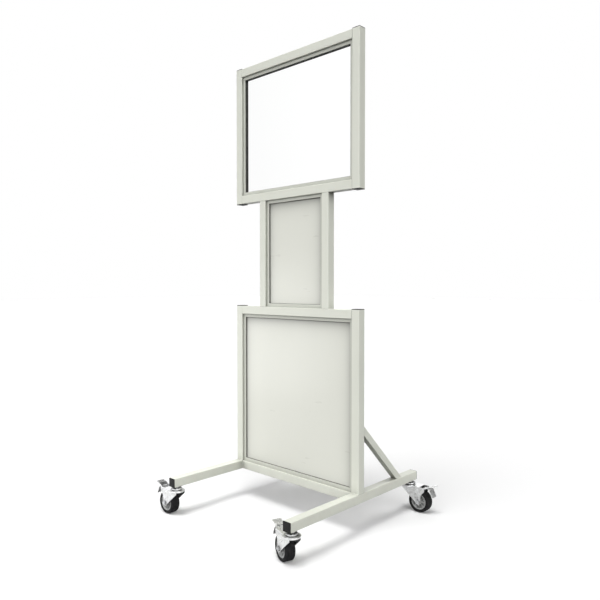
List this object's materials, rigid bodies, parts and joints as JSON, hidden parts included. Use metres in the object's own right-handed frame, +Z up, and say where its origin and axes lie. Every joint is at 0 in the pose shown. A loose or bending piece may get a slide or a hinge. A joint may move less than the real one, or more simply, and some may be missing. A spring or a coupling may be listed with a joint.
{
  "type": "rolling whiteboard",
  "caption": "Tall rolling board: wide lower frame, narrow middle frame and wide upper frame with a clear pane, on long braced feet with braked swivel casters",
  "frame": {"origin": "on the floor under the middle of the part's bounding box, which is the middle of the board", "axes": "+Z up, the part's longest extent; +X along the board, to the right as seen from the front; +Y from the front to the back, the shortest extent, so the front faces -Y"},
  "size_m": [1.0157, 0.8886, 2.148],
  "materials": {
    "frame_powder_coat": "warm off-white powder coat, fine orange-peel texture, semi-matt",
    "channel_powder_coat": "off-white powder coat on a rolled channel, slightly darker, semi-matt",
    "board": "off-white coated sheet, smooth, low gloss",
    "clear_pane": "clear polished sheet, faintly green at the edge",
    "black_plastic": "black moulded polyethylene, fine grain",
    "zinc_plate": "bright zinc plate over pressed steel, faint mottling",
    "zinc_pedal": "bright zinc plate on bent sheet, worn where it is trodden on",
    "axle_zinc": "zinc plated bolt, nut and sleeve",
    "ball_steel": "polished bearing balls with a film of grease",
    "lock_plastic": "black glass-filled nylon",
    "hub_plastic": "mid grey moulded polypropylene, fine grain",
    "tyre_rubber": "black rubber, grooved tread, dusty from the floor"
  },
  "bodies": {
    "frame": {"foot_left": "frame_powder_coat", "foot_right": "frame_powder_coat", "brace_left": "frame_powder_coat", "brace_right": "frame_powder_coat", "base_rail": "frame_powder_coat", "lower_post_left": "frame_powder_coat", "lower_post_right": "frame_powder_coat", "lower_top_rail": "frame_powder_coat", "middle_post_left": "frame_powder_coat", "middle_post_right": "frame_powder_coat", "upper_bottom_rail": "frame_powder_coat", "upper_post_left": "frame_powder_coat", "upper_post_right": "frame_powder_coat", "upper_top_rail": "frame_powder_coat", "lower_channel_left": "channel_powder_coat", "lower_channel_right": "channel_powder_coat", "lower_channel_bottom": "channel_powder_coat", "lower_channel_top": "channel_powder_coat", "middle_channel_left": "channel_powder_coat", "middle_channel_right": "channel_powder_coat", "middle_channel_bottom": "channel_powder_coat", "middle_channel_top": "channel_powder_coat", "upper_channel_left": "channel_powder_coat", "upper_channel_right": "channel_powder_coat", "upper_channel_bottom": "channel_powder_coat", "upper_channel_top": "channel_powder_coat", "lower_board": "board", "middle_board": "board", "upper_pane": "clear_pane", "tube_end_caps": "black_plastic", "stem_nuts": "zinc_plate", "swivel_balls": "ball_steel", "front_left_stem": "zinc_plate", "front_right_stem": "zinc_plate", "rear_left_stem": "zinc_plate", "rear_right_stem": "zinc_plate"},
    "front_left_swivel": {"front_left_fork": "zinc_plate", "front_left_axle_set": "axle_zinc"},
    "front_left_wheel": {"front_left_wheel_hub": "hub_plastic", "front_left_tyre": "tyre_rubber"},
    "front_left_pedal": {"front_left_brake_pedal": "zinc_pedal"},
    "front_left_lock": {"front_left_brake_shoe": "lock_plastic"},
    "front_right_swivel": {"front_right_fork": "zinc_plate", "front_right_axle_set": "axle_zinc"},
    "front_right_wheel": {"front_right_wheel_hub": "hub_plastic", "front_right_tyre": "tyre_rubber"},
    "front_right_pedal": {"front_right_brake_pedal": "zinc_pedal"},
    "front_right_lock": {"front_right_brake_shoe": "lock_plastic"},
    "rear_left_swivel": {"rear_left_fork": "zinc_plate", "rear_left_axle_set": "axle_zinc"},
    "rear_left_wheel": {"rear_left_wheel_hub": "hub_plastic", "rear_left_tyre": "tyre_rubber"},
    "rear_left_pedal": {"rear_left_brake_pedal": "zinc_pedal"},
    "rear_left_lock": {"rear_left_brake_shoe": "lock_plastic"},
    "rear_right_swivel": {"rear_right_fork": "zinc_plate", "rear_right_axle_set": "axle_zinc"},
    "rear_right_wheel": {"rear_right_wheel_hub": "hub_plastic", "rear_right_tyre": "tyre_rubber"},
    "rear_right_pedal": {"rear_right_brake_pedal": "zinc_pedal"},
    "rear_right_lock": {"rear_right_brake_shoe": "lock_plastic"}
  },
  "joints": [
    {"name": "front_left_swivel", "type": "hinge", "parent": "frame", "child": "front_left_swivel", "pos_m": [-0.37, -0.407, 0.121], "axis": [0, 0, 1], "continuous": true},
    {"name": "front_left_roll", "type": "hinge", "parent": "front_left_swivel", "child": "front_left_wheel", "pos_m": [-0.427, -0.407, 0.052], "axis": [0, -1, 0], "continuous": true},
    {"name": "front_left_brake", "type": "hinge", "parent": "front_left_swivel", "child": "front_left_pedal", "pos_m": [-0.447, -0.407, 0.111], "axis": [0, -1, 0], "range_deg": [0, 14]},
    {"name": "front_left_lock", "type": "slide", "parent": "front_left_swivel", "child": "front_left_lock", "axis": [0, 0, -1], "range_m": [0, 0.0046]},
    {"name": "front_right_swivel", "type": "hinge", "parent": "frame", "child": "front_right_swivel", "pos_m": [0.37, -0.407, 0.121], "axis": [0, 0, 1], "continuous": true},
    {"name": "front_right_roll", "type": "hinge", "parent": "front_right_swivel", "child": "front_right_wheel", "pos_m": [0.31627, -0.38797, 0.052], "axis": [-0.3338, -0.9426, 0], "continuous": true},
    {"name": "front_right_brake", "type": "hinge", "parent": "front_right_swivel", "child": "front_right_pedal", "pos_m": [0.29742, -0.3813, 0.111], "axis": [-0.3338, -0.9426, 0], "range_deg": [0, 14]},
    {"name": "front_right_lock", "type": "slide", "parent": "front_right_swivel", "child": "front_right_lock", "axis": [0, 0, -1], "range_m": [0, 0.0046]},
    {"name": "rear_left_swivel", "type": "hinge", "parent": "frame", "child": "rear_left_swivel", "pos_m": [-0.37, 0.407, 0.121], "axis": [0, 0, 1], "continuous": true},
    {"name": "rear_left_roll", "type": "hinge", "parent": "rear_left_swivel", "child": "rear_left_wheel", "pos_m": [-0.31425, 0.39515, 0.052], "axis": [0.2079, 0.9781, 0], "continuous": true},
    {"name": "rear_left_brake", "type": "hinge", "parent": "rear_left_swivel", "child": "rear_left_pedal", "pos_m": [-0.29468, 0.39099, 0.111], "axis": [0.2079, 0.9781, 0], "range_deg": [0, 14]},
    {"name": "rear_left_lock", "type": "slide", "parent": "rear_left_swivel", "child": "rear_left_lock", "axis": [0, 0, -1], "range_m": [0, 0.0046]},
    {"name": "rear_right_swivel", "type": "hinge", "parent": "frame", "child": "rear_right_swivel", "pos_m": [0.37, 0.407, 0.121], "axis": [0, 0, 1], "continuous": true},
    {"name": "rear_right_roll", "type": "hinge", "parent": "rear_right_swivel", "child": "rear_right_wheel", "pos_m": [0.42695, 0.40949, 0.052], "axis": [-0.0436, 0.999, 0], "continuous": true},
    {"name": "rear_right_brake", "type": "hinge", "parent": "rear_right_swivel", "child": "rear_right_pedal", "pos_m": [0.44693, 0.41036, 0.111], "axis": [-0.0436, 0.999, 0], "range_deg": [0, 14]},
    {"name": "rear_right_lock", "type": "slide", "parent": "rear_right_swivel", "child": "rear_right_lock", "axis": [0, 0, -1], "range_m": [0, 0.0046]}
  ],
  "couplings": [
    {"joint": "front_left_lock", "follows": "front_left_brake", "m_per_rad": 0.01882},
    {"joint": "front_right_lock", "follows": "front_right_brake", "m_per_rad": 0.01882},
    {"joint": "rear_left_lock", "follows": "rear_left_brake", "m_per_rad": 0.01882},
    {"joint": "rear_right_lock", "follows": "rear_right_brake", "m_per_rad": 0.01882}
  ]
}
